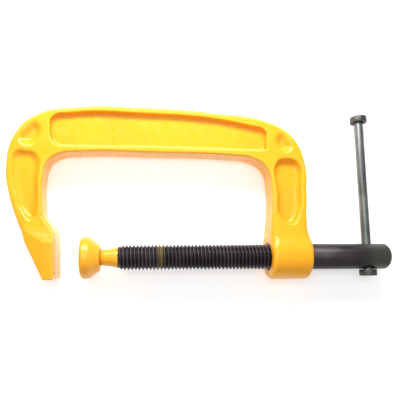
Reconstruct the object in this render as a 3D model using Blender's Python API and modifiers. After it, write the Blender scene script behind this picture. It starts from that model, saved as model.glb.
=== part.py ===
"""A 4 inch cast C clamp (G clamp) lying on its side.

The screw runs along X, the spine of the frame lies towards +Y and +Z is up.
The origin is the centre of the fixed jaw's face, on the screw's axis.
All lengths are in metres.
"""
import math

import bmesh
import bpy
from mathutils import Matrix, Vector

# ---------------------------------------------------------------- driving dimensions
GAP = 0.0003  # air between two pieces that touch

FRAME_THICKNESS = 0.017
WEB_THICKNESS = 0.0066
FRAME_EDGE_ROUND = 0.0014

JAW_HALF_HEIGHT = 0.0129  # along Z, at the face's low end
JAW_LOW_Y = -0.0133
JAW_SLOPE_X = 0.16  # how fast the jaw block thins behind its face
JAW_SLOPE_Y = 0.05  # and towards the arm
JAW_INSET = 0.0005  # the arm's plan stops this far inside the jaw block

BOSS_LEFT = 0.1335
BOSS_RIGHT = 0.1587
BOSS_RADIUS = 0.0144
BOSS_ROUND = 0.0024
SHOULDER_TOP = 0.025

PITCH = 0.0254 / 11  # 5/8 inch, 11 threads to the inch
THREAD_MAJOR_RADIUS = 0.00794
THREAD_MINOR_RADIUS = 0.00646
THREAD_CREST_FLAT = 0.16  # share of the pitch
THREAD_CLEARANCE = 0.0004
THREAD_STEPS = 16  # facets in one turn
THREAD_START = 0.0371

PAD_FACE = 0.0148
PAD_MOUTH = 0.0268
PAD_RADIUS = 0.0134
PAD_MOUTH_RADIUS = 0.0088
PAD_MOUTH_BORE = 0.0060
BALL_CENTRE = 0.0216
BALL_RADIUS = 0.0052
SOCKET_RADIUS = BALL_RADIUS + GAP
NECK_WAIST_RADIUS = 0.0034
NECK_RADIUS_SMALL = 0.0049
NECK_RADIUS_LARGE = 0.0064

RING_WIRE_RADIUS = 0.0005
RING_RADIUS = 0.0053
RING_CENTRE = 0.0243
RING_GROOVE_RADIUS = 0.0064
RING_GROOVE_HALF_WIDTH = 0.0014
RING_SPLIT_DEG = 36

SHANK_RADIUS = 0.00815
SHANK_START = BOSS_RIGHT + GAP
SHANK_END = 0.2125
SHANK_CHAMFER = 0.0034
SHANK_END_RADIUS = 0.0048

BAR_X = 0.1990
BAR_RADIUS = 0.0028
BAR_HOLE_RADIUS = BAR_RADIUS + 0.00035
BAR_HEAD_RADIUS = 0.0054
BAR_HEAD_THICKNESS = 0.0042
BAR_HEAD_DEPTH = 0.0026  # how far the bar runs into each head
BAR_NEAR_SHOULDER = SHANK_RADIUS + GAP  # from the screw's axis to the near head
BAR_FAR_SHOULDER = 0.0900  # from the screw's axis to the far head
BAR_LEAN_DEG = 3.6  # the far head leans down onto the table

TURN_STEPS = 48
SMALL_TURN_STEPS = 28


# ---------------------------------------------------------------- scene helpers
def clear_scene():
    for old in list(bpy.data.objects):
        bpy.data.objects.remove(old, do_unlink=True)


def make_collection(name):
    collection = bpy.data.collections.new(name)
    bpy.context.scene.collection.children.link(collection)
    return collection


def make_material(name, colour, roughness, metallic):
    material = bpy.data.materials.new(name)
    material.use_nodes = True
    shader = material.node_tree.nodes["Principled BSDF"]
    shader.inputs["Base Color"].default_value = (*colour, 1.0)
    shader.inputs["Roughness"].default_value = roughness
    shader.inputs["Metallic"].default_value = metallic
    return material


def add_object(name, data, collection, material=None):
    piece = bpy.data.objects.new(name, data)
    collection.objects.link(piece)
    if material is not None:
        piece.data.materials.append(material)
    return piece


def make_tool(piece):
    """Marks a solid that only adds to or cuts another one."""
    piece.hide_render = True
    piece.display_type = "WIRE"
    return piece


def evaluated_mesh(source):
    graph = bpy.context.evaluated_depsgraph_get()
    return bpy.data.meshes.new_from_object(source.evaluated_get(graph))


def smooth(piece, angle_deg=35):
    piece.data.shade_smooth()
    piece.data.set_sharp_from_angle(angle=math.radians(angle_deg))


def boolean(piece, tool, operation):
    modifier = piece.modifiers.new(f"{operation.lower()}_{tool.name}", "BOOLEAN")
    modifier.operation = operation
    modifier.solver = "EXACT"
    modifier.object = tool


# ---------------------------------------------------------------- shape helpers
def turned(name, profile, collection, material=None, steps=TURN_STEPS):
    """A turned solid about X. The profile is (x, radius) pairs, from high x down its outer side."""
    mesh = bpy.data.meshes.new(name)
    points = [(radius, 0.0, x) for x, radius in profile]
    edges = [(i, i + 1) for i in range(len(points) - 1)]
    mesh.from_pydata(points, edges, [])
    piece = add_object(name, mesh, collection, material)
    screw = piece.modifiers.new("turn", "SCREW")
    screw.axis = "Z"
    screw.angle = math.tau
    screw.steps = steps
    screw.render_steps = steps
    screw.use_merge_vertices = True
    screw.merge_threshold = 0.00001
    piece.rotation_euler = (0.0, math.radians(90), 0.0)
    return piece


def arc(centre_x, centre_radius, radius, start_deg, end_deg, count):
    """Profile points on an arc. 0 degrees points along +x and 90 away from the axis."""
    points = []
    for i in range(count + 1):
        angle = math.radians(start_deg + (end_deg - start_deg) * i / count)
        points.append((centre_x + radius * math.cos(angle), centre_radius + radius * math.sin(angle)))
    return points


def flat_outline(name, points, thickness, collection, resolution=5):
    """A plate in XY. Each point is (x, y, handle), with handle AUTO on a curve and VECTOR at a corner."""
    curve = bpy.data.curves.new(name, "CURVE")
    curve.dimensions = "2D"
    curve.fill_mode = "BOTH"
    curve.extrude = thickness / 2
    curve.resolution_u = resolution
    spline = curve.splines.new("BEZIER")
    spline.bezier_points.add(len(points) - 1)
    for knot, (x, y, handle) in zip(spline.bezier_points, points):
        knot.co = (x, y, 0.0)
        knot.handle_left_type = handle
        knot.handle_right_type = handle
    spline.use_cyclic_u = True
    source = add_object(name + "_curve", curve, collection)
    mesh = evaluated_mesh(source)
    mesh.name = name
    bpy.data.objects.remove(source, do_unlink=True)
    bm = bmesh.new()
    bm.from_mesh(mesh)
    bmesh.ops.remove_doubles(bm, verts=bm.verts, dist=0.00001)
    bmesh.ops.recalc_face_normals(bm, faces=bm.faces)
    bm.to_mesh(mesh)
    bm.free()
    return add_object(name, mesh, collection)


def threaded_rod(name, major, minor, x_low, x_high, collection):
    """A right-hand screw thread along X, cut square at both ends. Its helix has the same phase everywhere."""
    first_turn = math.floor(x_low / PITCH) - 1
    turns = math.ceil(x_high / PITCH) + 1 - first_turn
    crest_half = PITCH * THREAD_CREST_FLAT / 2
    middle = PITCH / 2
    profile = [
        (minor, 0.0, PITCH),
        (major, 0.0, middle + crest_half),
        (major, 0.0, middle - crest_half),
        (minor, 0.0, 0.0),
    ]
    mesh = bpy.data.meshes.new(name + "_profile")
    mesh.from_pydata(profile, [(0, 1), (1, 2), (2, 3)], [])
    source = add_object(name + "_profile", mesh, collection)
    screw = source.modifiers.new("helix", "SCREW")
    screw.axis = "Z"
    screw.angle = math.tau
    screw.screw_offset = PITCH
    screw.iterations = turns
    screw.steps = THREAD_STEPS
    screw.render_steps = THREAD_STEPS
    screw.use_merge_vertices = False
    surface = evaluated_mesh(source)
    surface.name = name
    bpy.data.objects.remove(source, do_unlink=True)

    bm = bmesh.new()
    bm.from_mesh(surface)
    bmesh.ops.remove_doubles(bm, verts=bm.verts, dist=0.00002)
    along_x = Matrix.Translation((first_turn * PITCH, 0.0, 0.0)) @ Matrix.Rotation(math.radians(90), 4, "Y")
    bmesh.ops.transform(bm, matrix=along_x, verts=bm.verts)
    for x, outward in ((x_low, -1), (x_high, 1)):
        everything = bm.verts[:] + bm.edges[:] + bm.faces[:]
        cut = bmesh.ops.bisect_plane(
            bm,
            geom=everything,
            plane_co=(x, 0.0, 0.0),
            plane_no=(outward, 0.0, 0.0),
            clear_outer=True,
        )
        rim = [item for item in cut["geom_cut"] if isinstance(item, bmesh.types.BMEdge)]
        bmesh.ops.holes_fill(bm, edges=rim, sides=0)
    bmesh.ops.recalc_face_normals(bm, faces=bm.faces)
    bmesh.ops.triangulate(bm, faces=bm.faces)
    bm.to_mesh(surface)
    bm.free()
    return add_object(name, surface, collection)


# ---------------------------------------------------------------- the frame
def frame_outline():
    """The plan of arms and beam, from the fixed jaw round the outside to the boss and back inside."""
    return [
        (-JAW_INSET, -0.0098, "VECTOR"),
        (-0.0073, -0.0098, "VECTOR"),
        (-0.0183, 0.0125, "AUTO"),
        (-0.0232, 0.0240, "AUTO"),
        (-0.0279, 0.0390, "AUTO"),
        (-0.0300, 0.0560, "AUTO"),
        (-0.0250, 0.0762, "AUTO"),
        (-0.0118, 0.0886, "AUTO"),
        (0.0100, 0.0932, "AUTO"),
        (0.0560, 0.0936, "AUTO"),
        (0.0980, 0.0909, "AUTO"),
        (0.1310, 0.0861, "AUTO"),
        (0.1484, 0.0764, "AUTO"),
        (0.1560, 0.0610, "AUTO"),
        (0.1571, 0.0400, "AUTO"),
        (0.1565, 0.0240, "AUTO"),
        (0.1565, 0.0172, "AUTO"),
        (0.1576, 0.0120, "AUTO"),
        (BOSS_RIGHT - BOSS_ROUND, 0.0000, "VECTOR"),
        (BOSS_LEFT + BOSS_ROUND, 0.0000, "VECTOR"),
        (0.1336, 0.0130, "AUTO"),
        (0.1345, 0.0240, "AUTO"),
        (0.1348, 0.0420, "AUTO"),
        (0.1319, 0.0556, "AUTO"),
        (0.1230, 0.0619, "AUTO"),
        (0.1100, 0.0636, "AUTO"),
        (0.0600, 0.0650, "AUTO"),
        (0.0110, 0.0650, "AUTO"),
        (0.0014, 0.0636, "AUTO"),
        (-0.0054, 0.0582, "AUTO"),
        (-0.0076, 0.0500, "AUTO"),
        (-0.0076, 0.0300, "AUTO"),
        (-0.0073, 0.0254, "VECTOR"),
        (-0.0026, 0.0176, "VECTOR"),
        (-JAW_INSET, 0.0100, "VECTOR"),
    ]


POCKETS = {
    "beam": [
        (-0.0008, 0.0720, "AUTO"),
        (0.0060, 0.0698, "VECTOR"),
        (0.0640, 0.0696, "VECTOR"),
        (0.1230, 0.0672, "VECTOR"),
        (0.1298, 0.0690, "AUTO"),
        (0.1312, 0.0790, "AUTO"),
        (0.1250, 0.0828, "AUTO"),
        (0.0970, 0.0869, "AUTO"),
        (0.0560, 0.0895, "AUTO"),
        (0.0100, 0.0893, "AUTO"),
        (-0.0020, 0.0855, "AUTO"),
    ],
    "left_corner": [
        (-0.0118, 0.0715, "VECTOR"),
        (-0.0118, 0.0835, "VECTOR"),
        (-0.0180, 0.0792, "AUTO"),
        (-0.0222, 0.0715, "VECTOR"),
    ],
    "left_arm": [
        (-0.0112, 0.0625, "VECTOR"),
        (-0.0243, 0.0655, "VECTOR"),
        (-0.0262, 0.0560, "AUTO"),
        (-0.0238, 0.0400, "AUTO"),
        (-0.0188, 0.0255, "AUTO"),
        (-0.0140, 0.0240, "AUTO"),
        (-0.0118, 0.0330, "AUTO"),
    ],
    "right_corner": [
        (0.1392, 0.0680, "VECTOR"),
        (0.1480, 0.0680, "VECTOR"),
        (0.1460, 0.0730, "AUTO"),
        (0.1400, 0.0775, "VECTOR"),
    ],
    "right_arm": [
        (0.1386, 0.0600, "VECTOR"),
        (0.1524, 0.0600, "VECTOR"),
        (0.1532, 0.0400, "AUTO"),
        (0.1520, 0.0260, "AUTO"),
        (0.1460, 0.0205, "AUTO"),
        (0.1400, 0.0260, "AUTO"),
        (0.1392, 0.0400, "AUTO"),
    ],
}


def jaw_body(tools):
    """The square block behind the fixed jaw's face. It thins backwards and is trimmed along the arm's slope."""
    back, top = -0.0220, 0.0150
    bm = bmesh.new()
    bmesh.ops.create_cube(bm, size=1.0)
    for vertex in bm.verts:
        x = 0.0 if vertex.co.x > 0 else back
        y = top if vertex.co.y > 0 else JAW_LOW_Y
        half = JAW_HALF_HEIGHT + JAW_SLOPE_X * x - JAW_SLOPE_Y * (y - JAW_LOW_Y)
        vertex.co = Vector((x, y, math.copysign(half, vertex.co.z)))
    mesh = bpy.data.meshes.new("jaw_block")
    bm.to_mesh(mesh)
    bm.free()
    block = make_tool(add_object("jaw_block", mesh, tools))
    slope = [
        (0.0020, -0.0150, "VECTOR"),
        (-0.0055, -0.0150, "VECTOR"),
        (-0.0203, 0.0152, "VECTOR"),
        (0.0020, 0.0152, "VECTOR"),
    ]
    plan = flat_outline("jaw_plan", slope, 4 * JAW_HALF_HEIGHT, tools)
    boolean(block, make_tool(plan), "INTERSECT")
    bevel = block.modifiers.new("round", "BEVEL")
    bevel.width = 0.0008
    bevel.segments = 2
    bevel.limit_method = "ANGLE"
    bevel.angle_limit = math.radians(50)
    return block


def boss_body(tools):
    """The round boss that carries the screw thread."""
    edge = BOSS_RADIUS - BOSS_ROUND
    profile = [(BOSS_RIGHT, 0.0)]
    profile += arc(BOSS_RIGHT - BOSS_ROUND, edge, BOSS_ROUND, 0, 90, 4)
    profile += arc(BOSS_LEFT + BOSS_ROUND, edge, BOSS_ROUND, 90, 180, 4)
    profile += [(BOSS_LEFT, 0.0)]
    return make_tool(turned("boss", profile, tools))


def shoulder_body(tools):
    """The taper that brings the arm out to the boss."""
    low, high = 0.004, SHOULDER_TOP
    wide = (BOSS_LEFT + 0.0022, BOSS_RIGHT - 0.0030, 0.0132)
    narrow = (0.1368, 0.1554, FRAME_THICKNESS / 2 - 0.0006)
    bm = bmesh.new()
    bmesh.ops.create_cube(bm, size=1.0)
    for vertex in bm.verts:
        left, right, half = narrow if vertex.co.y > 0 else wide
        y = high if vertex.co.y > 0 else low
        vertex.co = Vector((right if vertex.co.x > 0 else left, y, math.copysign(half, vertex.co.z)))
    mesh = bpy.data.meshes.new("shoulder")
    bm.to_mesh(mesh)
    bm.free()
    shoulder = make_tool(add_object("shoulder", mesh, tools))
    bevel = shoulder.modifiers.new("round", "BEVEL")
    bevel.width = 0.0022
    bevel.segments = 3
    return shoulder


def mouth_cone(name, x_wide, x_narrow, tools):
    """The countersink at one end of the screw hole."""
    wide, narrow = THREAD_MAJOR_RADIUS + 0.0009, THREAD_MINOR_RADIUS
    high, low = ((x_wide, wide), (x_narrow, narrow))
    if x_wide < x_narrow:
        high, low = low, high
    profile = [(high[0], 0.0), high, low, (low[0], 0.0)]
    return make_tool(turned(name, profile, tools, steps=32))


def build_frame(parts, tools, enamel):
    body = flat_outline("frame", frame_outline(), FRAME_THICKNESS, parts)
    body.data.materials.append(enamel)
    edges = body.modifiers.new("edge_round", "BEVEL")
    edges.width = FRAME_EDGE_ROUND
    edges.segments = 2
    edges.limit_method = "ANGLE"
    edges.angle_limit = math.radians(60)
    for added in (jaw_body(tools), boss_body(tools), shoulder_body(tools)):
        boolean(body, added, "UNION")
    pocket_depth = (FRAME_THICKNESS - WEB_THICKNESS) / 2
    for name, outline in POCKETS.items():
        for side, sign in (("top", 1), ("bottom", -1)):
            cutter = flat_outline(f"pocket_{name}_{side}", outline, 2 * pocket_depth, tools, 4)
            cutter.location.z = sign * FRAME_THICKNESS / 2
            boolean(body, make_tool(cutter), "DIFFERENCE")
    hole = threaded_rod(
        "screw_hole",
        THREAD_MAJOR_RADIUS + THREAD_CLEARANCE,
        THREAD_MINOR_RADIUS + THREAD_CLEARANCE,
        BOSS_LEFT - 0.001,
        BOSS_RIGHT + 0.001,
        tools,
    )
    boolean(body, make_tool(hole), "DIFFERENCE")
    reach = 0.0018
    boolean(body, mouth_cone("left_mouth", BOSS_LEFT - 0.0002, BOSS_LEFT + reach, tools), "DIFFERENCE")
    boolean(body, mouth_cone("right_mouth", BOSS_RIGHT + 0.0002, BOSS_RIGHT - reach, tools), "DIFFERENCE")
    smooth(body)
    return body


# ---------------------------------------------------------------- the screw and its pad
def build_spindle(parts, tools, steel):
    rod = threaded_rod(
        "spindle",
        THREAD_MAJOR_RADIUS,
        THREAD_MINOR_RADIUS,
        THREAD_START,
        BOSS_RIGHT + 0.003,
        parts,
    )
    rod.data.materials.append(steel)

    waist_x = BALL_CENTRE + math.sqrt(BALL_RADIUS**2 - NECK_WAIST_RADIUS**2)
    waist_angle = math.degrees(math.atan2(NECK_WAIST_RADIUS, waist_x - BALL_CENTRE))
    neck = [
        (THREAD_START + 0.003, 0.0),
        (THREAD_START + 0.003, 0.0052),
        (THREAD_START + 0.0003, NECK_RADIUS_LARGE - 0.0002),
        (THREAD_START - 0.0006, NECK_RADIUS_LARGE),
        (PAD_MOUTH + 0.0014, NECK_RADIUS_SMALL),
        (waist_x + 0.0006, NECK_WAIST_RADIUS),
    ]
    neck += arc(BALL_CENTRE, 0.0, BALL_RADIUS, waist_angle, 180, 12)[:-1]
    neck += [(BALL_CENTRE - BALL_RADIUS, 0.0)]
    boolean(rod, make_tool(turned("neck_and_ball", neck, tools, steps=32)), "UNION")

    shank = [
        (SHANK_END, 0.0),
        (SHANK_END, SHANK_END_RADIUS),
        (SHANK_END - SHANK_CHAMFER * 0.55, SHANK_RADIUS - 0.0009),
        (SHANK_END - SHANK_CHAMFER, SHANK_RADIUS),
        (SHANK_START + 0.0006, SHANK_RADIUS),
        (SHANK_START, SHANK_RADIUS - 0.0006),
        (SHANK_START, 0.0),
    ]
    boolean(rod, make_tool(turned("shank", shank, tools)), "UNION")

    bm = bmesh.new()
    bmesh.ops.create_cone(
        bm,
        cap_ends=True,
        segments=SMALL_TURN_STEPS,
        radius1=BAR_HOLE_RADIUS,
        radius2=BAR_HOLE_RADIUS,
        depth=4 * SHANK_RADIUS,
    )
    mesh = bpy.data.meshes.new("bar_hole")
    bm.to_mesh(mesh)
    bm.free()
    hole = make_tool(add_object("bar_hole", mesh, tools))
    hole.location = (BAR_X, 0.0, 0.0)
    hole.rotation_euler = (math.radians(-90 - BAR_LEAN_DEG), 0.0, 0.0)
    boolean(rod, hole, "DIFFERENCE")
    smooth(rod, 30)
    return rod


def build_pad(parts, enamel):
    """The swivel pad: a cone with a ball socket, a ring groove and a lipped mouth."""
    groove_low = RING_CENTRE - RING_GROOVE_HALF_WIDTH
    groove_high = RING_CENTRE + RING_GROOVE_HALF_WIDTH
    socket_end_deg = math.degrees(math.acos((groove_low - BALL_CENTRE) / SOCKET_RADIUS))
    profile = [(BALL_CENTRE - SOCKET_RADIUS, 0.0)]
    profile += arc(BALL_CENTRE, 0.0, SOCKET_RADIUS, 180, socket_end_deg, 8)[1:]
    profile += [
        (groove_low, RING_GROOVE_RADIUS),
        (groove_high, RING_GROOVE_RADIUS),
        (groove_high, PAD_MOUTH_BORE),
        (PAD_MOUTH, PAD_MOUTH_BORE),
        (PAD_MOUTH, PAD_MOUTH_RADIUS - 0.0006),
        (PAD_MOUTH - 0.0007, PAD_MOUTH_RADIUS),
        (PAD_MOUTH - 0.0030, 0.0109),
        (PAD_MOUTH - 0.0053, 0.0127),
        (PAD_MOUTH - 0.0073, PAD_RADIUS),
        (PAD_FACE + 0.0022, PAD_RADIUS),
        (PAD_FACE + 0.0006, PAD_RADIUS - 0.0009),
        (PAD_FACE, PAD_RADIUS - 0.0022),
        (PAD_FACE, 0.0),
    ]
    about_ball = [(x - BALL_CENTRE, radius) for x, radius in profile]
    pad = turned("swivel_pad", about_ball, parts, enamel)
    pad.location = (BALL_CENTRE, 0.0, 0.0)
    smooth(pad)
    return pad


def build_ring(parts, steel):
    """The split spring ring that keeps the ball in the pad."""
    curve = bpy.data.curves.new("pad_retaining_ring", "CURVE")
    curve.dimensions = "3D"
    curve.bevel_depth = RING_WIRE_RADIUS
    curve.bevel_resolution = 2
    curve.use_fill_caps = True
    count = 29
    spline = curve.splines.new("POLY")
    spline.points.add(count - 1)
    start = math.radians(90 + RING_SPLIT_DEG / 2)
    sweep = math.radians(360 - RING_SPLIT_DEG)
    for i, point in enumerate(spline.points):
        angle = start + sweep * i / (count - 1)
        point.co = (0.0, RING_RADIUS * math.cos(angle), RING_RADIUS * math.sin(angle), 1.0)
    ring = add_object("pad_retaining_ring", curve, parts, steel)
    ring.location = (RING_CENTRE, 0.0, 0.0)
    return ring


# ---------------------------------------------------------------- the tommy bar
def build_bar(parts, steel):
    """The sliding bar and its two heads, on an empty at the screw's cross hole."""
    holder = bpy.data.objects.new("tommy_bar_axis", None)
    parts.objects.link(holder)
    holder.location = (BAR_X, 0.0, 0.0)
    holder.rotation_euler = (0.0, 0.0, math.radians(90))
    lean = bpy.data.objects.new("tommy_bar_lean", None)
    parts.objects.link(lean)
    lean.parent = holder
    lean.rotation_euler = (0.0, math.radians(BAR_LEAN_DEG), 0.0)

    far_end = BAR_FAR_SHOULDER + BAR_HEAD_DEPTH
    near_end = -BAR_NEAR_SHOULDER - BAR_HEAD_DEPTH
    rod = [(far_end, 0.0), (far_end, BAR_RADIUS), (near_end, BAR_RADIUS), (near_end, 0.0)]
    bar = turned("tommy_bar", rod, parts, steel, SMALL_TURN_STEPS)
    pieces = [bar]
    for name, shoulder, outward in (
        ("tommy_bar_far_head", BAR_FAR_SHOULDER, 1),
        ("tommy_bar_near_head", -BAR_NEAR_SHOULDER, -1),
    ):
        bore = BAR_RADIUS + GAP
        bore_end = BAR_HEAD_DEPTH + GAP
        top = BAR_HEAD_THICKNESS
        section = [
            (bore_end, 0.0),
            (bore_end, bore),
            (0.0, bore),
            (0.0, BAR_HEAD_RADIUS - 0.0005),
            (0.0005, BAR_HEAD_RADIUS),
            (top - 0.0010, BAR_HEAD_RADIUS),
            (top - 0.0003, BAR_HEAD_RADIUS - 0.0007),
            (top, BAR_HEAD_RADIUS - 0.0022),
            (top, 0.0),
        ]
        placed = [(shoulder + outward * x, radius) for x, radius in section]
        if outward > 0:
            placed.reverse()
        pieces.append(turned(name, placed, parts, steel, SMALL_TURN_STEPS))
    for piece in pieces:
        piece.parent = lean
        smooth(piece)
    return pieces


def main():
    clear_scene()
    parts = make_collection("c_clamp")
    tools = make_collection("c_clamp_tools")
    enamel = make_material("yellow_enamel", (0.93, 0.50, 0.035), 0.32, 0.0)
    blackened = make_material("blackened_steel", (0.045, 0.040, 0.045), 0.48, 0.7)
    bar_steel = make_material("bar_steel", (0.13, 0.14, 0.14), 0.40, 0.8)
    spring = make_material("spring_steel", (0.30, 0.29, 0.28), 0.35, 0.9)
    build_frame(parts, tools, enamel)
    build_spindle(parts, tools, blackened)
    build_pad(parts, enamel)
    build_ring(parts, spring)
    build_bar(parts, bar_steel)


main()
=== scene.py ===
import math

import bpy
import numpy as np
from mathutils import Matrix, Vector, noise


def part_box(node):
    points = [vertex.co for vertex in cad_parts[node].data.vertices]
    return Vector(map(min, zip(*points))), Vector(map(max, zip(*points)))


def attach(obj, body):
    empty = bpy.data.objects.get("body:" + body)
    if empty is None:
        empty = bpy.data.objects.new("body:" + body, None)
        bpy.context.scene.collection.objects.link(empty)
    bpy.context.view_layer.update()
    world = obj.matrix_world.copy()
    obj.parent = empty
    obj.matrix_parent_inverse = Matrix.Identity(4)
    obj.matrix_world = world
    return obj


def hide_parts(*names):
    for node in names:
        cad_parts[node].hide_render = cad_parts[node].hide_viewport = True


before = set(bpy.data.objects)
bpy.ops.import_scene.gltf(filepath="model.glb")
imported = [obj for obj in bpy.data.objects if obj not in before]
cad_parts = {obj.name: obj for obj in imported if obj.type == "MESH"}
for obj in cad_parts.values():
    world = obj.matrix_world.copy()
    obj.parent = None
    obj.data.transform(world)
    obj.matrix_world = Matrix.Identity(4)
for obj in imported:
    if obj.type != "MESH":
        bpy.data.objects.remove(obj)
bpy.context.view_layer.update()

# The looks of a 4 inch cast C clamp lying on its side. The screw runs along X, the spine of the frame
# lies towards +Y and +Z is up. Lengths are in metres, except in the frame casting, which is worked out in mm.

MM = 0.001

# ---------------------------------------------------------------- places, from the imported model
FRAME_LOW, FRAME_HIGH = (Vector(corner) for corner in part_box("frame"))
SPINDLE_END = Vector(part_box("spindle")[1]).x
PAD_LOW, PAD_HIGH = (Vector(corner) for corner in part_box("swivel_pad"))
RING_LOW, RING_HIGH = (Vector(corner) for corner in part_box("pad_retaining_ring"))
FLOOR_Z = FRAME_LOW.z
BOSS_RIGHT = FRAME_HIGH.x
PITCH = 0.0254 / 11


# ---------------------------------------------------------------- camera, floor and light
def look_through(place, aim, roll_deg, lens, shift_x, shift_y):
    """A camera above the object. Its picture's up side is +Y, turned by the roll."""
    data = bpy.data.cameras.new("camera")
    data.lens = lens
    data.sensor_width = 36.0
    data.shift_x = shift_x
    data.shift_y = shift_y
    camera = bpy.data.objects.new("camera", data)
    bpy.context.scene.collection.objects.link(camera)
    back = (Vector(place) - Vector(aim)).normalized()
    right = Vector((0.0, 1.0, 0.0)).cross(back).normalized()
    turn = Matrix((right, back.cross(right), back)).transposed().to_4x4()
    camera.matrix_world = Matrix.Translation(place) @ turn @ Matrix.Rotation(math.radians(roll_deg), 4, "Z")
    bpy.context.scene.camera = camera
    return camera


def soft_box(name, place, aim, size, power, colour):
    """A rectangular area light. The power is in watts."""
    data = bpy.data.lights.new(name, "AREA")
    data.shape = "RECTANGLE"
    data.size, data.size_y = size
    data.energy = power
    data.color = colour
    lamp = bpy.data.objects.new(name, data)
    bpy.context.scene.collection.objects.link(lamp)
    lamp.location = place
    lamp.rotation_euler = (Vector(aim) - Vector(place)).to_track_quat("-Z", "Y").to_euler()
    return lamp


# ---------------------------------------------------------------- material helpers
class Paint:
    """A Principled material and the nodes that feed it."""

    def __init__(self, name):
        self.material = bpy.data.materials.new(name)
        self.material.use_nodes = True
        self.tree = self.material.node_tree
        self.shader = self.tree.nodes["Principled BSDF"]
        coordinate = self.tree.nodes.new("ShaderNodeTexCoord")
        self.place = coordinate.outputs["Object"]

    def link(self, value, socket):
        """Sets a socket from a number, a colour or another node's output."""
        if isinstance(value, bpy.types.NodeSocket):
            self.tree.links.new(value, socket)
        elif isinstance(value, tuple) and len(value) == 3 and socket.type == "RGBA":
            socket.default_value = (*value, 1.0)
        else:
            socket.default_value = value

    def noise(self, scale, detail=3.0, roughness=0.55, stretch=None, distortion=0.0):
        """Noise from 0 to 1. The scale is in cycles to the metre."""
        place = self.place
        if stretch:
            mapping = self.tree.nodes.new("ShaderNodeMapping")
            mapping.inputs["Scale"].default_value = stretch
            self.tree.links.new(place, mapping.inputs["Vector"])
            place = mapping.outputs["Vector"]
        node = self.tree.nodes.new("ShaderNodeTexNoise")
        node.inputs["Scale"].default_value = scale
        node.inputs["Detail"].default_value = detail
        node.inputs["Roughness"].default_value = roughness
        node.inputs["Distortion"].default_value = distortion
        self.tree.links.new(place, node.inputs["Vector"])
        return node.outputs["Fac"]

    def attribute(self, name):
        node = self.tree.nodes.new("ShaderNodeAttribute")
        node.attribute_name = name
        return node.outputs["Fac"]

    def axis(self, letter):
        node = self.tree.nodes.new("ShaderNodeSeparateXYZ")
        self.tree.links.new(self.place, node.inputs["Vector"])
        return node.outputs[letter]

    def math(self, operation, first, second=0.0, clamp=False):
        node = self.tree.nodes.new("ShaderNodeMath")
        node.operation = operation
        node.use_clamp = clamp
        self.link(first, node.inputs[0])
        self.link(second, node.inputs[1])
        return node.outputs[0]

    def ramp(self, value, low, high, from_value=0.0, to_value=1.0):
        """A smooth step from from_value at low to to_value at high."""
        node = self.tree.nodes.new("ShaderNodeMapRange")
        node.interpolation_type = "SMOOTHSTEP"
        limits = {"From Min": low, "From Max": high, "To Min": from_value, "To Max": to_value}
        for name, number in limits.items():
            node.inputs[name].default_value = number
        self.link(value, node.inputs["Value"])
        return node.outputs["Result"]

    def mix(self, factor, first, second):
        node = self.tree.nodes.new("ShaderNodeMix")
        node.data_type = "RGBA"
        self.link(factor, node.inputs["Factor"])
        self.link(first, node.inputs[6])
        self.link(second, node.inputs[7])
        return node.outputs[2]

    def bump(self, height, distance, strength=1.0, over=None):
        node = self.tree.nodes.new("ShaderNodeBump")
        node.inputs["Distance"].default_value = distance
        node.inputs["Strength"].default_value = strength
        self.link(height, node.inputs["Height"])
        if over is not None:
            self.tree.links.new(over, node.inputs["Normal"])
        return node.outputs["Normal"]

    def finish(self, **values):
        for name, value in values.items():
            self.link(value, self.shader.inputs[name.replace("_", " ").title().replace("Ior", "IOR")])
        return self.material


ENAMEL = (0.92, 0.41, 0.012)
# The darker enamel serves the random patches and the painted shade in the hollows.
ENAMEL_PATCHES_AND_SHADE = (0.88, 0.30, 0.008)
# The lighter enamel is a painted highlight on the ridges.
ENAMEL_PAINTED_HIGHLIGHT = (0.94, 0.50, 0.025)
BARE_IRON = (0.045, 0.035, 0.028)
BLACK_OXIDE = (0.028, 0.022, 0.028)
# The lighter oxide serves the random smudges and the painted highlight on the thread's crests.
WORN_OXIDE_AND_HIGHLIGHT = (0.105, 0.092, 0.102)
GREEN_GREY = (0.085, 0.085, 0.072)


def enamel_colour(paint):
    """Thick enamel over a rough casting, with random darker patches, painted shade in the hollows and a
    painted highlight on the ridges.
    """
    patches = paint.noise(38.0, 3.0, 0.6)
    # Painted shade: darker enamel in the hollows.
    painted_shade = paint.ramp(paint.attribute("hollow"), 0.10, 0.75)
    # Painted highlight: lighter enamel on the ridges.
    painted_highlight = paint.ramp(paint.attribute("ridge"), 0.25, 0.85)
    colour = paint.mix(paint.ramp(patches, 0.35, 0.75, 0.0, 0.28), ENAMEL, ENAMEL_PATCHES_AND_SHADE)
    colour = paint.mix(paint.math("MULTIPLY", painted_shade, 0.55), colour, ENAMEL_PATCHES_AND_SHADE)
    return paint.mix(paint.math("MULTIPLY", painted_highlight, 0.5), colour, ENAMEL_PAINTED_HIGHLIGHT)


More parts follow.
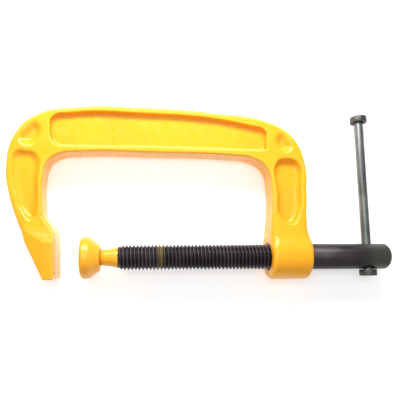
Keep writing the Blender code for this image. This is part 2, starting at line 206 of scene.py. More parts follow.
def frame_enamel():
    paint = Paint("yellow_enamel_cast")
    colour = enamel_colour(paint)
    chip_noise = paint.noise(520.0, 4.0, 0.7)
    chip_patches = paint.noise(60.0, 2.0, 0.5)
    chips = paint.math("MULTIPLY", paint.ramp(chip_noise, 0.69, 0.715), paint.ramp(chip_patches, 0.52, 0.60))
    ridges = paint.ramp(paint.attribute("ridge"), 0.6, 0.95)
    rubbed = paint.math("MULTIPLY", ridges, paint.ramp(chip_noise, 0.62, 0.68))
    bare = paint.math("MAXIMUM", chips, paint.math("MULTIPLY", rubbed, paint.ramp(chip_patches, 0.55, 0.62)))
    colour = paint.mix(bare, colour, BARE_IRON)
    lumps = paint.noise(210.0, 3.0, 0.5)
    grain = paint.noise(1400.0, 2.0, 0.5)
    rough_cast = paint.bump(lumps, 0.00020, 0.32)
    surface = paint.bump(grain, 0.00002, 0.15, rough_cast)
    surface = paint.bump(paint.math("SUBTRACT", 1.0, bare), 0.00012, 0.6, surface)
    roughness = paint.math("ADD", paint.ramp(lumps, 0.3, 0.7, 0.20, 0.32), paint.math("MULTIPLY", bare, 0.35))
    return paint.finish(
        base_color=colour,
        roughness=roughness,
        normal=surface,
        specular_ior_level=0.30,
        coat_weight=0.22,
        coat_roughness=0.12,
    )


def pad_enamel():
    paint = Paint("yellow_enamel_pad")
    colour = enamel_colour(paint)
    lumps = paint.noise(420.0, 3.0, 0.5)
    surface = paint.bump(lumps, 0.00022, 0.5)
    worn = paint.ramp(paint.noise(330.0, 4.0, 0.7), 0.66, 0.71)
    worn = paint.math("MULTIPLY", worn, paint.ramp(paint.axis("X"), PAD_LOW.x + 0.0012, PAD_LOW.x, 0.15, 1.0))
    colour = paint.mix(worn, colour, BARE_IRON)
    return paint.finish(
        base_color=colour,
        roughness=paint.ramp(lumps, 0.3, 0.7, 0.24, 0.38),
        normal=surface,
        coat_weight=0.25,
        coat_roughness=0.18,
    )


# The neck is dipped in the pad's enamel, and the brush left a smear part of the way along the thread.
NECK_END = 0.0379
SMEAR_START, SMEAR_END = 0.0622, 0.0668


def spindle_steel():
    paint = Paint("blackened_steel_screw")
    along = paint.axis("X")
    smudge = paint.noise(55.0, 4.0, 0.6)
    fine = paint.noise(900.0, 3.0, 0.6)
    crest = paint.attribute("crest")
    # Lighter along the crests: rubbed oxide and a painted highlight.
    worn = paint.math("MULTIPLY", crest, paint.ramp(smudge, 0.30, 0.70, 0.25, 0.95))
    colour = paint.mix(paint.ramp(smudge, 0.3, 0.75, 0.0, 0.35), BLACK_OXIDE, WORN_OXIDE_AND_HIGHLIGHT)
    colour = paint.mix(worn, colour, WORN_OXIDE_AND_HIGHLIGHT)
    end_wear = paint.ramp(along, BAR_X - 0.012, BAR_X + 0.006, 0.0, 0.85)
    colour = paint.mix(end_wear, colour, GREEN_GREY)
    wobble = paint.math("MULTIPLY", paint.math("SUBTRACT", paint.noise(300.0, 3.0), 0.5), 0.0016)
    edge = paint.math("ADD", along, wobble)
    neck = paint.ramp(edge, NECK_END, NECK_END - 0.0003)
    smear = paint.math(
        "MULTIPLY",
        paint.ramp(edge, SMEAR_START, SMEAR_START + 0.0012),
        paint.ramp(edge, SMEAR_END, SMEAR_END - 0.0012),
    )
    smear = paint.math("MULTIPLY", smear, paint.ramp(fine, 0.35, 0.6, 0.15, 0.8))
    colour = paint.mix(smear, colour, (0.20, 0.15, 0.020))
    colour = paint.mix(neck, colour, ENAMEL)
    painted = paint.math("MAXIMUM", neck, smear)
    bare_rough = paint.ramp(smudge, 0.3, 0.7, 0.34, 0.50)
    return paint.finish(
        base_color=colour,
        metallic=paint.math("SUBTRACT", 0.75, paint.math("MULTIPLY", painted, 0.75)),
        roughness=paint.math("SUBTRACT", bare_rough, paint.math("MULTIPLY", neck, 0.12)),
        normal=paint.bump(fine, 0.00008, 0.4),
    )


def bar_steel():
    paint = Paint("bar_steel_drawn")
    drawn = paint.noise(700.0, 3.0, 0.6, (1.0, 0.03, 1.0))
    smudge = paint.noise(45.0, 3.0, 0.6)
    shade = paint.ramp(smudge, 0.32, 0.72)
    colour = paint.mix(shade, (0.105, 0.115, 0.112), (0.21, 0.225, 0.22))
    return paint.finish(
        base_color=colour,
        metallic=0.85,
        roughness=paint.ramp(drawn, 0.3, 0.7, 0.28, 0.42),
        normal=paint.bump(drawn, 0.00005, 0.4),
    )


def head_steel():
    paint = Paint("bar_steel_pressed_head")
    smudge = paint.noise(160.0, 4.0, 0.65)
    colour = paint.mix(paint.ramp(smudge, 0.35, 0.7), (0.060, 0.058, 0.055), (0.13, 0.125, 0.11))
    return paint.finish(
        base_color=colour,
        metallic=0.75,
        roughness=paint.ramp(smudge, 0.3, 0.7, 0.38, 0.55),
        normal=paint.bump(paint.noise(900.0, 3.0), 0.00010, 0.5),
    )


def ring_steel():
    paint = Paint("spring_steel_wire")
    drawn = paint.noise(800.0, 2.0)
    return paint.finish(
        base_color=paint.mix(drawn, (0.22, 0.21, 0.20), (0.36, 0.35, 0.33)),
        metallic=0.9,
        roughness=paint.ramp(drawn, 0.3, 0.7, 0.28, 0.42),
    )


def floor_paper():
    paint = Paint("floor_paper")
    fleck = paint.noise(90.0, 3.0)
    return paint.finish(
        base_color=paint.mix(fleck, (0.86, 0.86, 0.86), (0.90, 0.90, 0.90)),
        roughness=0.9,
        specular_ior_level=0.1,
        emission_color=(1.0, 1.0, 1.0),
        emission_strength=0.42,
    )


# ---------------------------------------------------------------- mesh helpers
def make_piece(name, points, faces, material, body, attributes=None):
    """A smooth mesh that rides on a body. Points are in metres."""
    mesh = bpy.data.meshes.new(name)
    mesh.from_pydata([tuple(point) for point in points], [], [tuple(face) for face in faces])
    mesh.shade_smooth()
    mesh.materials.append(material)
    for attribute, values in (attributes or {}).items():
        layer = mesh.attributes.new(attribute, "FLOAT", "POINT")
        layer.data.foreach_set("value", np.asarray(values, dtype=np.float32))
    piece = bpy.data.objects.new(name, mesh)
    bpy.context.scene.collection.objects.link(piece)
    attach(piece, body)
    return piece


def turn_about(profile, origin, axis, steps, deform=None):
    """Points and faces of a turned solid.

    The profile is (distance along the axis, radius) pairs. It starts and ends on the axis.
    """
    along = Vector(axis).normalized()
    side = along.orthogonal().normalized()
    up = along.cross(side)
    points, faces = [], []
    for distance, radius in profile:
        ring = 1 if radius == 0.0 else steps
        for i in range(ring):
            angle = math.tau * i / steps
            swell = deform(distance, angle) if deform and radius else 1.0
            outward = side * math.cos(angle) + up * math.sin(angle)
            points.append(Vector(origin) + along * distance + outward * radius * swell)
    start = 0
    for (_, first), (_, second) in zip(profile, profile[1:]):
        first_count = 1 if first == 0.0 else steps
        second_start = start + first_count
        for i in range(steps):
            after = (i + 1) % steps
            if first == 0.0:
                faces.append((start, second_start + after, second_start + i))
            elif second == 0.0:
                faces.append((start + i, start + after, second_start))
            else:
                faces.append((start + i, start + after, second_start + after, second_start + i))
        start = second_start
    return points, faces


def arc(centre_x, centre_radius, radius, start_deg, end_deg, count):
    """Profile points on an arc. 0 degrees points along the axis and 90 away from it."""
    points = []
    for i in range(count + 1):
        angle = math.radians(start_deg + (end_deg - start_deg) * i / count)
        points.append((centre_x + radius * math.cos(angle), centre_radius + radius * math.sin(angle)))
    return points


# ---------------------------------------------------------------- the frame casting, in mm
THICKNESS = 17.0
GRID_STEP = 0.45
BOSS_LEFT_MM, BOSS_RIGHT_MM = 133.5, 158.7
BOSS_RADIUS_MM = 14.4
BOSS_ROUND_MM = 2.4
JAW_HALF_MM = 12.9
JAW_LOW_MM, JAW_TOP_MM = -13.3, 29.3
JAW_BLOCK_MM = 6.0  # the block keeps its full height this far behind the face
JAW_BACK_MM = 18.6
THREAD_PLAY_MM = 0.45  # room around the screw in the boss
SLOW_WAVE_MM, QUICK_WAVE_MM = 7.5, 2.6
WAVE_HEIGHT_MM, WAVE_INSET_MM = 0.11, 0.07
THREAD_MAJOR_MM, THREAD_MINOR_MM = 7.94, 6.46
PITCH_MM = 25.4 / 11


def outline_points(knots, resolution=8):
    """A closed smooth outline through knots of (x, y, handle), as CAD draws it."""
    curve = bpy.data.curves.new("outline", "CURVE")
    curve.dimensions = "2D"
    curve.resolution_u = resolution
    curve.fill_mode = "NONE"
    spline = curve.splines.new("BEZIER")
    spline.bezier_points.add(len(knots) - 1)
    for knot, (x, y, handle) in zip(spline.bezier_points, knots):
        knot.co = (x, y, 0.0)
        knot.handle_left_type = handle
        knot.handle_right_type = handle
    spline.use_cyclic_u = True
    holder = bpy.data.objects.new("outline", curve)
    bpy.context.scene.collection.objects.link(holder)
    mesh = holder.evaluated_get(bpy.context.evaluated_depsgraph_get()).to_mesh()
    points = np.array([vertex.co[:2] for vertex in mesh.vertices])
    bpy.data.objects.remove(holder)
    bpy.data.curves.remove(curve)
    return points


def plan_distance(points, x, y):
    """Signed distance in the plane to a closed outline, negative inside."""
    nearest = np.full(x.shape, 1e9)
    inside = np.zeros(x.shape, dtype=bool)
    for (ax, ay), (bx, by) in zip(points, np.roll(points, -1, axis=0)):
        ex, ey = bx - ax, by - ay
        length = ex * ex + ey * ey
        if length < 1e-12:
            continue
        along = np.clip(((x - ax) * ex + (y - ay) * ey) / length, 0.0, 1.0)
        nearest = np.minimum(nearest, (x - ax - along * ex) ** 2 + (y - ay - along * ey) ** 2)
        if ay != by:
            crosses = (ay > y) != (by > y)
            inside ^= crosses & (x < ax + (y - ay) * ex / ey)
    return np.where(inside, -1.0, 1.0) * np.sqrt(nearest)


def round_max(first, second, radius):
    """The solid in both fields, with their shared edge rounded."""
    over_first = np.maximum(first + radius, 0.0)
    over_second = np.maximum(second + radius, 0.0)
    return np.minimum(np.maximum(first, second), -radius) + np.hypot(over_first, over_second)


def round_min(first, second, radius):
    """The solid in either field, with a fillet where they meet."""
    return -round_max(-first, -second, radius)


def surface_net(field, low, step):
    """A mesh of quads along the zero of a distance field on a grid."""
    inside = field < 0.0
    stride = np.array([field.shape[1] * field.shape[2], field.shape[2], 1])
    rings, places = [], []
    for axis in range(3):
        head = tuple(slice(0, -1) if i == axis else slice(None) for i in range(3))
        tail = tuple(slice(1, None) if i == axis else slice(None) for i in range(3))
        index = np.argwhere(inside[head] != inside[tail])
        next_index = index.copy()
        next_index[:, axis] += 1
        start = field[tuple(index.T)]
        end = field[tuple(next_index.T)]
        place = index.astype(float)
        place[:, axis] += start / (start - end)
        flat = index @ stride
        across, up = stride[(axis + 1) % 3], stride[(axis + 2) % 3]
        ring = np.stack([flat, flat - across, flat - across - up, flat - up], axis=1)
        outward = inside[tuple(index.T)]
        ring[~outward] = ring[~outward][:, ::-1]
        rings.append(ring)
        places.append(place)
    ring = np.concatenate(rings)
    place = np.concatenate(places)
    _, corner = np.unique(ring.ravel(), return_inverse=True)
    corner = corner.ravel()
    count = np.bincount(corner)
    owner = np.repeat(np.arange(len(ring)), 4)
    points = np.stack([np.bincount(corner, weights=place[owner, i]) / count for i in range(3)], axis=1)
    return np.array(low) + points * step, corner.reshape(-1, 4)


def ring_average(values, edges, count):
    """The mean of each point's neighbours."""
    total = np.zeros_like(values)
    for i in range(values.shape[1]):
        total[:, i] = np.bincount(edges[:, 0], weights=values[edges[:, 1], i], minlength=count)
        total[:, i] += np.bincount(edges[:, 1], weights=values[edges[:, 0], i], minlength=count)
    degree = np.bincount(edges.ravel(), minlength=count)
    return total / np.maximum(degree, 1)[:, None]


def point_normals(points, quads):
    across = points[quads[:, 2]] - points[quads[:, 0]]
    up = points[quads[:, 3]] - points[quads[:, 1]]
    face = np.cross(across, up)
    normals = np.zeros_like(points)
    for i in range(3):
        for j in range(4):
            normals[:, i] += np.bincount(quads[:, j], weights=face[:, i], minlength=len(points))
    return normals / np.maximum(np.linalg.norm(normals, axis=1), 1e-12)[:, None]


FRAME_OUTLINE = [
    (-0.5, -9.8, "VECTOR"),
    (-7.3, -9.8, "VECTOR"),
    (-18.3, 12.5, "AUTO"),
    (-23.2, 24.0, "AUTO"),
    (-27.9, 39.0, "AUTO"),
    (-30.0, 56.0, "AUTO"),
    (-25.0, 76.2, "AUTO"),
    (-11.8, 88.6, "AUTO"),
    (10.0, 93.2, "AUTO"),
    (56.0, 93.6, "AUTO"),
    (98.0, 90.9, "AUTO"),
    (131.0, 86.1, "AUTO"),
    (148.4, 76.4, "AUTO"),
    (156.0, 61.0, "AUTO"),
    (157.1, 40.0, "AUTO"),
    (156.5, 24.0, "AUTO"),
    (156.5, 17.2, "AUTO"),
    (157.6, 12.0, "AUTO"),
    (156.3, 0.0, "VECTOR"),
    (135.9, 0.0, "VECTOR"),
    (133.6, 13.0, "AUTO"),
    (134.5, 24.0, "AUTO"),
    (134.8, 42.0, "AUTO"),
    (131.9, 55.6, "AUTO"),
    (123.0, 61.9, "AUTO"),
    (110.0, 63.6, "AUTO"),
    (60.0, 65.0, "AUTO"),
    (11.0, 65.0, "AUTO"),
    (1.4, 63.6, "AUTO"),
    (-5.4, 58.2, "AUTO"),
    (-7.6, 50.0, "AUTO"),
    (-7.6, 30.0, "AUTO"),
    (-7.3, 25.4, "VECTOR"),
    (-2.6, 17.6, "VECTOR"),
    (-0.5, 10.0, "VECTOR"),
]

# Each pocket is its outline, its floor's height, the radius at the foot of its wall and at its lip, and its
# wall's slope.
POCKETS = [
    (
        [
            (-1.6, 71.0, "AUTO"),
            (4.0, 68.9, "AUTO"),
            (12.0, 68.7, "VECTOR"),
            (64.0, 68.6, "VECTOR"),
            (125.5, 67.0, "VECTOR"),
            (131.6, 67.6, "VECTOR"),
            (132.0, 78.4, "VECTOR"),
            (129.0, 81.6, "VECTOR"),
            (97.0, 87.3, "AUTO"),
            (56.0, 89.8, "AUTO"),
            (8.0, 89.6, "AUTO"),
            (-2.2, 87.0, "AUTO"),
            (-3.6, 78.0, "AUTO"),
        ],
        4.5,
        1.2,
        0.5,
        0.12,
    ),
    (
        [
            (-11.8, 72.0, "AUTO"),
            (-11.6, 82.5, "AUTO"),
            (-17.4, 79.6, "AUTO"),
            (-21.6, 72.2, "AUTO"),
        ],
        5.6,
        2.6,
        2.0,
        0.60,
    ),
    (
        [
            (-11.4, 63.0, "AUTO"),
            (-18.0, 65.6, "AUTO"),
            (-24.6, 64.6, "AUTO"),
            (-26.3, 55.0, "AUTO"),
            (-23.6, 38.5, "AUTO"),
            (-19.0, 27.0, "AUTO"),
            (-13.4, 23.5, "AUTO"),
            (-11.0, 31.0, "AUTO"),
            (-10.8, 48.0, "AUTO"),
        ],
        5.6,
        2.8,
        1.3,
        0.50,
    ),
    (
        [
            (139.4, 68.8, "AUTO"),
            (147.0, 68.4, "AUTO"),
            (145.4, 73.6, "AUTO"),
            (140.2, 77.0, "AUTO"),
        ],
        5.6,
        2.6,
        2.0,
        0.60,
    ),
    (
        [
            (138.2, 60.0, "AUTO"),
            (145.0, 62.0, "AUTO"),
            (152.2, 59.0, "AUTO"),
            (153.2, 44.0, "AUTO"),
            (152.2, 28.0, "AUTO"),
            (146.4, 20.5, "AUTO"),
            (139.6, 25.0, "AUTO"),
            (138.2, 40.0, "AUTO"),
        ],
        4.3,
        2.2,
        0.9,
        0.40,
    ),
]


def casting_field(x, y, z):
    """Distance to the frame's surface. x and y are a plane of the grid and z its heights."""
    depth = np.abs(z)
    plan = plan_distance(outline_points(FRAME_OUTLINE), x[:, :, 0], y[:, :, 0])[:, :, None]
    body = round_max(plan, depth - THICKNESS / 2, 1.5)

    from_axis = np.hypot(y, z)
    jaw_middle, jaw_half = (JAW_TOP_MM + JAW_LOW_MM) / 2, (JAW_TOP_MM - JAW_LOW_MM) / 2
    taper = np.maximum((-x - JAW_BLOCK_MM) * 0.22, (y - 9.0) * 0.34)
    nose = round_max(depth - JAW_HALF_MM + np.maximum(taper, 0.0), np.abs(y - jaw_middle) - jaw_half, 0.8)
    nose = round_max(nose, x, 1.0)
    nose = round_max(nose, (x + y * 0.876 - 13.7) / 1.33, 1.0)
    slope = -((x + 6.3) + (y + 13.3) * 0.49) / math.hypot(1.0, 0.49)
    nose = round_max(nose, slope, 1.2)
    nose = round_max(nose, -JAW_BACK_MM - x, 1.5)
    body = round_min(body, nose, 2.4)

    boss_middle, boss_half = (BOSS_LEFT_MM + BOSS_RIGHT_MM) / 2, (BOSS_RIGHT_MM - BOSS_LEFT_MM) / 2
    boss = round_max(from_axis - BOSS_RADIUS_MM, np.abs(x - boss_middle) - boss_half, BOSS_ROUND_MM)
    rise = np.clip((y - 5.0) / 20.0, 0.0, 1.0)
    step = np.clip((y - 9.0) / 9.0, 0.0, 1.0)
    shoulder = round_max((134.6 + 1.2 * rise) - x, x - (157.6 - 2.0 * step), 1.5)
    shoulder = round_max(shoulder, depth - (13.2 - 5.4 * rise), 2.4)
    shoulder = round_max(shoulder, np.abs(y - 13.5) - 12.0, 1.5)
    body = round_min(body, round_min(boss, shoulder, 2.2), 2.4)

    for knots, floor, foot, lip, draft in POCKETS:
        flat = plan_distance(outline_points(knots, 6), x[:, :, 0], y[:, :, 0])[:, :, None]
        wall = flat + (THICKNESS / 2 - depth) * draft
        pocket = round_max(wall, floor - depth, foot)
        body = round_max(body, -pocket, lip)

    turn = np.arctan2(y, -z) / math.tau
    phase = np.abs(np.mod(x / PITCH_MM - turn, 1.0) - 0.5) * 2.0
    thread = THREAD_MAJOR_MM - (THREAD_MAJOR_MM - THREAD_MINOR_MM) * np.clip((phase - 0.16) / 0.84, 0.0, 1.0)
    bore = np.where(np.abs(x - boss_middle) < boss_half + 2.0, from_axis - thread - THREAD_PLAY_MM, 50.0)
    body = np.maximum(body, -bore)
    for face, outward in ((BOSS_LEFT_MM, -1.0), (BOSS_RIGHT_MM, 1.0)):
        mouth = from_axis - (THREAD_MAJOR_MM + 0.9) - ((x - face) * outward)
        mouth = np.maximum(mouth, np.abs(x - face) - 2.4)
        body = round_max(body, -mouth, 0.3)
    return body


def cast_frame(material):
    """The frame: fillets, drafted pockets and the slow waviness of a sand casting under thick enamel."""
    margin = 3.0 * GRID_STEP
    low = np.array(FRAME_LOW) / MM - margin
    high = np.array(FRAME_HIGH) / MM + margin
    axes = [np.arange(low[i], high[i] + GRID_STEP, GRID_STEP, dtype=np.float32) for i in range(3)]
    x, y, z = axes[0][:, None, None], axes[1][None, :, None], axes[2][None, None, :]
    x = np.broadcast_to(x, (len(axes[0]), len(axes[1]), 1))
    y = np.broadcast_to(y, (len(axes[0]), len(axes[1]), 1))
    points, quads = surface_net(casting_field(x, y, z).astype(np.float32), low, GRID_STEP)

    edges = np.unique(np.sort(np.concatenate([quads[:, [i, (i + 1) % 4]] for i in range(4)]), axis=1), axis=0)
    for pull in (0.5, -0.52, 0.5, -0.52, 0.5, -0.52):
        points = points + pull * (ring_average(points, edges, len(points)) - points)

    normals = point_normals(points, quads)
    blurred = points
    for _ in range(14):
        blurred = blurred + 0.6 * (ring_average(blurred, edges, len(points)) - blurred)
    bend = np.einsum("ij,ij->i", points - blurred, normals)

    from_axis = np.hypot(points[:, 1], points[:, 2])
    machined = (np.abs(points[:, 0]) < 0.6) & (from_axis < 13.0) | (from_axis < 9.6) & (points[:, 0] > 120.0)
    slow = np.array([noise.noise(Vector(point / SLOW_WAVE_MM)) for point in points])
    quick = np.array([noise.noise(Vector(point / QUICK_WAVE_MM)) for point in points])
    inset = np.where(machined, 0.0, WAVE_HEIGHT_MM * (slow + 0.45 * quick) - WAVE_INSET_MM)
    points = points + normals * inset[:, None]
    points = np.clip(points, np.array(FRAME_LOW) / MM, np.array(FRAME_HIGH) / MM)
    # ridge and hollow drive the enamel's painted highlight and painted shade; ridge also drives the rubbed
    # wear.
    attributes = {"ridge": np.clip(bend / 0.30, 0.0, 1.0), "hollow": np.clip(-bend / 0.30, 0.0, 1.0)}
    piece = make_piece("frame_casting", points * MM, quads, material, "frame", attributes)
    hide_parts("frame")
    return piece


# ---------------------------------------------------------------- the screw
THREAD_MAJOR, THREAD_MINOR = 0.00794, 0.00646
THREAD_COLUMNS = 12
THREAD_STEPS = 72
SHANK_RADIUS = 0.00815
BAR_X = 0.1990
BAR_LEAN_DEG = 3.6
BAR_RADIUS = 0.0028
CROSS_HOLE_RADIUS = 0.00315
BAR_FAR_SHOULDER, BAR_NEAR_SHOULDER = 0.0900, -0.00845  # along the bar, from the screw's axis
BAR_IN_HEAD = 0.0026
HEAD_RADIUS, HEAD_THICKNESS = 0.0054, 0.00408
BALL_X, BALL_RADIUS = 0.0216, 0.0052
THREAD_START = 0.0381


def thread_share(share):
    """Height of the thread's flank, 0 at the root and 1 at the crest, for a share of the pitch."""
    away = abs(share - 0.5) * 2.0
    return 1.0 - min(max((away - 0.16) / 0.80, 0.0), 1.0)


def screw_thread(x_low, x_high, taper):
    """Points, faces and crest shares of a right-hand thread whose helix has CAD's phase."""
    points, faces, crests = [], [], []
    first = math.floor(x_low / PITCH) - 1
    columns = (math.ceil(x_high / PITCH) + 1 - first) * THREAD_COLUMNS
    for i in range(THREAD_STEPS + 1):
        turn = i / THREAD_STEPS
        angle = math.tau * turn
        for j in range(columns + 1):
            x = min(max(first * PITCH + (j / THREAD_COLUMNS + turn) * PITCH, x_low), x_high)
            share = thread_share((x / PITCH - turn) % 1.0)
            share *= min(1.0, (x - x_low) / taper + 0.15)
            radius = THREAD_MINOR + (THREAD_MAJOR - THREAD_MINOR) * share
            points.append((x, radius * math.sin(angle), -radius * math.cos(angle)))
            crests.append(max(0.0, share * 2.0 - 1.0))
    row = columns + 1
    for i in range(THREAD_STEPS):
        for j in range(columns):
            corner = i * row + j
            faces.append((corner, corner + 1, corner + row + 1, corner + row))
    return points, faces, crests


def build_spindle(material):
    neck = [(BALL_X - BALL_RADIUS, 0.0)]
    neck += arc(BALL_X, 0.0, BALL_RADIUS, 172, 44, 20)
    neck += [
        (0.0262, 0.0036),
        (0.0267, 0.0044),
        (0.0276, 0.0049),
        (0.0310, 0.0053),
        (0.0338, 0.0057),
        (0.0356, 0.0062),
        (THREAD_START - 0.0002, 0.00652),
        (THREAD_START + 0.0010, 0.00640),
        (THREAD_START + 0.0012, 0.0),
    ]
    start = BOSS_RIGHT + 0.0003
    end = SPINDLE_END
    shank = [
        (start, 0.0),
        (start, SHANK_RADIUS - 0.0006),
        (start + 0.0006, SHANK_RADIUS),
        (end - 0.0028, SHANK_RADIUS),
        (end - 0.0022, SHANK_RADIUS - 0.0002),
        (end - 0.0010, SHANK_RADIUS - 0.0011),
        (end - 0.0003, SHANK_RADIUS - 0.0022),
        (end, SHANK_RADIUS - 0.0032),
        (end, 0.0),
    ]
    thread_points, thread_faces, crests = screw_thread(THREAD_START, start + 0.001, 0.0030)
    points, faces, crest = list(thread_points), list(thread_faces), list(crests)
    for profile in (neck, shank):
        turned_points, turned_faces = turn_about(profile, (0.0, 0.0, 0.0), (1.0, 0.0, 0.0), 64)
        shift = len(points)
        points += turned_points
        faces += [tuple(corner + shift for corner in face) for face in turned_faces]
        # The neck and shank get a quarter of the crests' lightening, a faint painted highlight with wear.
        crest += [0.25] * len(turned_points)
    piece = make_piece("spindle_screw", points, faces, material, "spindle", {"crest": crest})
    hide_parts("spindle")
    cut_cross_hole(piece)
    return piece


def cut_cross_hole(piece):
    """The hole through the shank for the bar."""
    hole = [(-0.02, 0.0), (-0.02, CROSS_HOLE_RADIUS), (0.02, CROSS_HOLE_RADIUS), (0.02, 0.0)]
    points, faces = turn_about(hole, (BAR_X, 0.0, 0.0), bar_direction(), 40)
    mesh = bpy.data.meshes.new("cross_hole")
    mesh.from_pydata([tuple(point) for point in points], [], faces)
    cutter = bpy.data.objects.new("cross_hole", mesh)
    bpy.context.scene.collection.objects.link(cutter)
    cut = piece.modifiers.new("cross_hole", "BOOLEAN")
    cut.operation = "DIFFERENCE"
    cut.object = cutter
    cut.solver = "FAST"
    bpy.context.view_layer.update()
    graph = bpy.context.evaluated_depsgraph_get()
    result = bpy.data.meshes.new_from_object(piece.evaluated_get(graph))
    piece.modifiers.remove(cut)
    piece.data = result
    bpy.data.objects.remove(cutter)


def bar_direction():
    """Unit vector along the bar, towards its far head."""
    lean = math.radians(BAR_LEAN_DEG)
    return Vector((0.0, math.cos(lean), -math.sin(lean)))


# ---------------------------------------------------------------- the pad, its ring and the bar
def build_pad(material):
    face, mouth = PAD_LOW.x, PAD_HIGH.x
    radius = (PAD_HIGH.z - PAD_LOW.z) / 2
    profile = [
        (face, 0.0),
        (face, radius - 0.0026),
        (face + 0.0002, radius - 0.0014),
        (face + 0.0007, radius - 0.0006),
        (face + 0.0014, radius - 0.00015),
        (face + 0.0022, radius),
        (face + 0.0044, radius - 0.0001),
        (face + 0.0054, radius - 0.0004),
        (face + 0.0065, radius - 0.0011),
        (face + 0.0078, radius - 0.0021),
        (face + 0.0092, radius - 0.0033),
        (face + 0.0106, radius - 0.0043),
        (mouth - 0.0006, 0.0087),
        (mouth - 0.0002, 0.0085),
        (mouth, 0.0080),
        (mouth, 0.0064),
        (mouth - 0.0004, 0.0060),
        (0.0257, 0.0060),
        (0.0257, 0.0064),
        (0.0229, 0.0064),
        (0.0229, 0.00534),
    ]
    profile += arc(BALL_X, 0.0, BALL_RADIUS + 0.0003, 76, 176, 12)
    profile += [(BALL_X - BALL_RADIUS - 0.0003, 0.0)]

    def pressed(distance, angle):
        return 1.0 - 0.004 * (0.5 + 0.5 * math.sin(3.0 * angle + 0.8)) if distance < 0.024 else 1.0

    points, faces = turn_about(profile, (0.0, 0.0, 0.0), (1.0, 0.0, 0.0), 72, pressed)
    from_axis = np.array([math.hypot(point[1], point[2]) for point in points])
    ridge = np.clip((from_axis - radius + 0.0012) / 0.0012, 0.0, 1.0)
    # The rim's ridge value gives it the enamel's painted highlight.
    attributes = {"ridge": ridge * 0.4, "hollow": np.zeros(len(points))}
    piece = make_piece("pad_swivel", points, faces, material, "swivel_pad", attributes)
    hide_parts("swivel_pad")
    return piece


def build_ring(material):
    """A split ring of round wire with its ends dressed round."""
    wire = 0.0005
    radius = (RING_HIGH.y - RING_LOW.y) / 2 - wire
    centre = (RING_LOW.x + RING_HIGH.x) / 2
    split = math.radians(36)
    steps, sides = 96, 16
    points, faces = [], []
    for i in range(steps + 1):
        angle = math.pi / 2 + split / 2 + (math.tau - split) * i / steps
        outward = Vector((0.0, math.cos(angle), math.sin(angle)))
        from_end = min(i, steps - i) / 2.0
        thick = wire * min(1.0, 0.6 + 0.4 * from_end)
        for j in range(sides):
            turn = math.tau * j / sides
            along = Vector((centre + thick * math.sin(turn), 0.0, 0.0))
            points.append(outward * (radius + thick * math.cos(turn)) + along)
    for i in range(steps):
        for j in range(sides):
            after = (j + 1) % sides
            faces.append((i * sides + j, i * sides + after, (i + 1) * sides + after, (i + 1) * sides + j))
    faces.append(tuple(reversed(range(sides))))
    faces.append(tuple(range(steps * sides, (steps + 1) * sides)))
    piece = make_piece("pad_ring_wire", points, faces, material, "screw_carrier")
    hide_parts("pad_retaining_ring")
    return piece


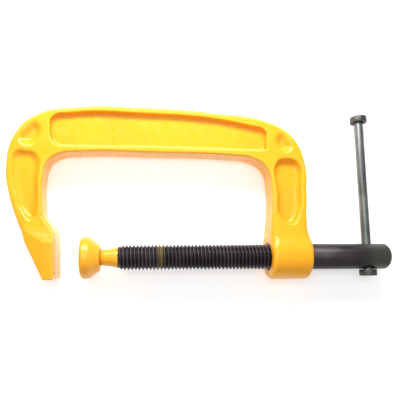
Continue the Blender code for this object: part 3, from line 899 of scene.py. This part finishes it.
def build_bar(rod_material, head_material):
    direction = bar_direction()
    centre = Vector((BAR_X, 0.0, 0.0))
    radius, far, near = BAR_RADIUS, BAR_FAR_SHOULDER, BAR_NEAR_SHOULDER
    length = far - near
    rod = [(near - BAR_IN_HEAD, 0.0), (near - BAR_IN_HEAD, radius)]
    rod += [(near + length * i / 48, radius) for i in range(49)]
    rod += [(far + BAR_IN_HEAD, radius), (far + BAR_IN_HEAD, 0.0)]

    def hand_worn(distance, angle):
        return 1.0 - 0.006 * (0.5 + 0.5 * math.sin(distance * 260.0 + math.cos(angle)))

    points, faces = turn_about(rod, centre, direction, 40, hand_worn)
    piece = make_piece("bar_rod", points, faces, rod_material, "tommy_bar")
    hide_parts("tommy_bar")

    head_radius, thickness = HEAD_RADIUS, HEAD_THICKNESS
    section = [
        (0.0029, 0.0),
        (0.0029, radius + 0.0003),
        (0.0, radius + 0.0003),
        (0.0, head_radius - 0.0004),
        (0.0001, head_radius - 0.0001),
        (0.0004, head_radius),
        (thickness - 0.0006, head_radius),
        (thickness - 0.0003, head_radius - 0.0001),
        (thickness - 0.0001, head_radius - 0.0004),
        (thickness, head_radius - 0.0010),
        (thickness, 0.0),
    ]
    for name, node, shoulder, outward in (
        ("bar_head_far", "tommy_bar_far_head", far, 1.0),
        ("bar_head_near", "tommy_bar_near_head", near, -1.0),
    ):
        def pressed(distance, angle):
            return 1.0 - 0.018 * (0.5 + 0.5 * math.cos(4.0 * angle)) if distance > 0.0 else 1.0

        points, faces = turn_about(section, centre + direction * shoulder, direction * outward, 48, pressed)
        piece = make_piece(name, points, faces, head_material, "tommy_bar")
        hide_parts(node)


def build_floor(material):
    half = 3.0
    corners = [(-half, -half), (half, -half), (half, half), (-half, half)]
    mesh = bpy.data.meshes.new("floor")
    mesh.from_pydata([(x, y, FLOOR_Z) for x, y in corners], [], [(0, 1, 2, 3)])
    mesh.materials.append(material)
    floor = bpy.data.objects.new("floor", mesh)
    bpy.context.scene.collection.objects.link(floor)


ABOVE_TINT = (1.0, 0.985, 0.96)
BEHIND_TINT = (1.0, 0.98, 0.94)


def light_studio():
    world = bpy.data.worlds.new("studio")
    world.use_nodes = True
    world.node_tree.nodes["Background"].inputs["Color"].default_value = (1.0, 1.0, 1.0, 1.0)
    world.node_tree.nodes["Background"].inputs["Strength"].default_value = 0.50
    bpy.context.scene.world = world
    bpy.context.scene.view_settings.view_transform = "Standard"
    above = soft_box("key_above", (0.07, 0.050, 0.27), (0.07, 0.050, 0.0), (0.24, 0.07), 0.20, ABOVE_TINT)
    behind = soft_box("key_behind", (0.05, 0.21, 0.150), (0.05, 0.065, 0.0), (0.30, 0.07), 1.0, BEHIND_TINT)
    for lamp in (above, behind):
        lamp.visible_camera = False


build_floor(floor_paper())
light_studio()
look_through((0.0525, -0.0001, 0.26666), (0.06778, 0.01507, 0.0), -0.289, 37.95, 0.0865, 0.08375)
cast_frame(frame_enamel())
build_spindle(spindle_steel())
build_pad(pad_enamel())
build_ring(ring_steel())
build_bar(bar_steel(), head_steel())
